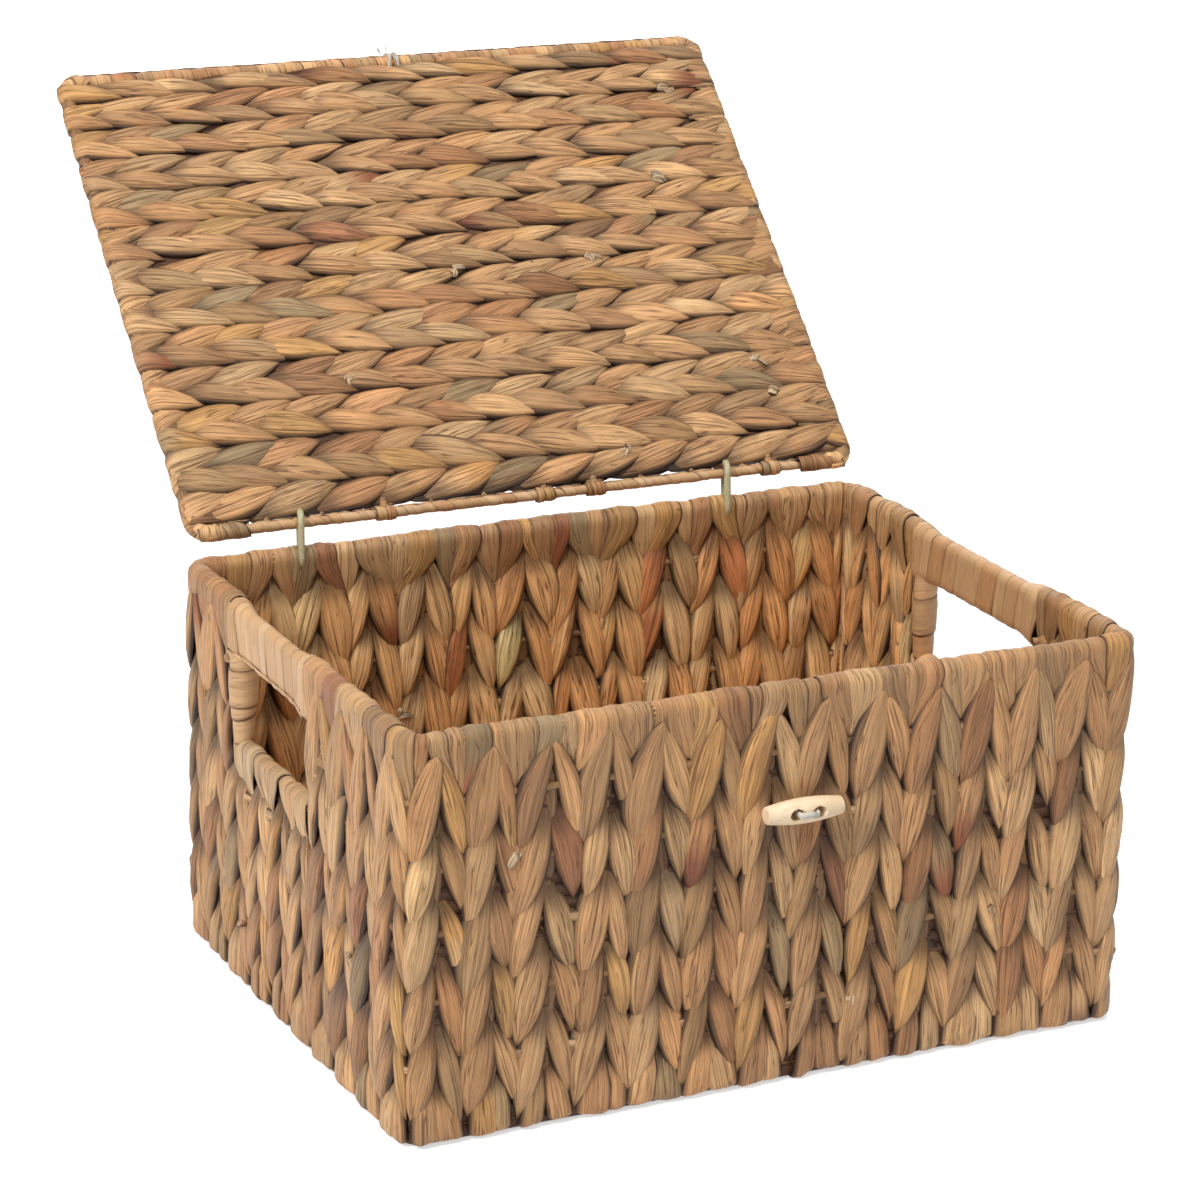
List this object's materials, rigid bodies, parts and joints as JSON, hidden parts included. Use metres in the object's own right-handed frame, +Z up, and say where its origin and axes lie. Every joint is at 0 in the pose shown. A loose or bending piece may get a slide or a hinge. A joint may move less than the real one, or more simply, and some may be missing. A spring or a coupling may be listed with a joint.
{
  "type": "lidded storage basket",
  "caption": "Rectangular storage basket twined from dried plant strands over a wire frame, with a grip in each short side and a ring-hinged lid held shut by a toggle and a cord loop.",
  "frame": {"origin": "centre of the flat underside, on the surface that the basket stands on", "axes": "+X along the width, to the right as seen from the front; +Y to the back, where the hinge is; +Z up"},
  "size_m": [0.4004, 0.5266, 0.4225],
  "materials": {
    "strand": "satin dried plant strand, tan to golden with grey-green and red-brown streaks",
    "inner_strand": "satin dried plant strand, warmer tan",
    "peel": "satin pale peel",
    "frame_rod": "satin, pale grey-green",
    "filler": "matte dried stalk",
    "toggle_wood": "smooth, pale",
    "cord": "matte twisted cord"
  },
  "bodies": {
    "basket": {"rim_rod": "frame_rod", "hoop_1": "frame_rod", "hoop_2_front": "frame_rod", "hoop_2_back": "frame_rod", "hoop_3": "frame_rod", "hoop_4": "frame_rod", "hoop_5": "frame_rod", "base_rod": "frame_rod", "post_front_left": "frame_rod", "post_front_right": "frame_rod", "post_back_right": "frame_rod", "post_back_left": "frame_rod", "left_sill_rod": "frame_rod", "left_front_jamb": "frame_rod", "left_back_jamb": "frame_rod", "right_sill_rod": "frame_rod", "right_front_jamb": "frame_rod", "right_back_jamb": "frame_rod", "floor_rod_left": "frame_rod", "floor_rod_middle": "frame_rod", "floor_rod_right": "frame_rod", "front_weave": "strand", "right_weave": "strand", "back_weave": "inner_strand", "left_weave": "strand", "floor_weave": "inner_strand", "left_grip_core": "filler", "left_grip_wrap": "peel", "right_grip_core": "filler", "right_grip_wrap": "peel", "left_jamb_wrap": "peel", "right_jamb_wrap": "peel", "hinge_ring_left": "frame_rod", "hinge_ring_right": "frame_rod"},
    "lid": {"lid_rim_rod": "frame_rod", "lid_cross_rod_1": "frame_rod", "lid_cross_rod_2": "frame_rod", "lid_cross_rod_3": "frame_rod", "lid_cross_rod_4": "frame_rod", "lid_cross_rod_5": "frame_rod", "lid_cross_rod_6": "frame_rod", "lid_cross_rod_7": "frame_rod", "lid_cross_rod_8": "frame_rod", "lid_cross_rod_9": "frame_rod", "lid_cross_rod_10": "frame_rod", "lid_cross_rod_11": "frame_rod", "lid_cross_rod_12": "frame_rod", "lid_weave": "strand", "lid_rear_wrap_left": "peel", "lid_rear_wrap_middle": "peel", "lid_rear_wrap_right": "peel", "lid_front_wrap": "peel", "loop_knot": "cord"},
    "toggle": {"toggle_button": "toggle_wood", "toggle_cord": "cord"},
    "loop": {"closing_loop": "cord"}
  },
  "joints": [
    {"name": "lid_hinge", "type": "hinge", "parent": "basket", "child": "lid", "pos_m": [0, 0.1459, 0.2195], "axis": [1, 0, 0], "range_deg": [0, 136.7]},
    {"name": "toggle_turn", "type": "hinge", "parent": "basket", "child": "toggle", "pos_m": [0.004, -0.15835, 0.147], "axis": [0, 1, 0], "range_deg": [-90, 90]},
    {"name": "loop_swing", "type": "hinge", "parent": "lid", "child": "loop", "pos_m": [0.0016, 0.35713, 0.4171], "axis": [1, 0, 0], "range_deg": [-20, 190]}
  ]
}
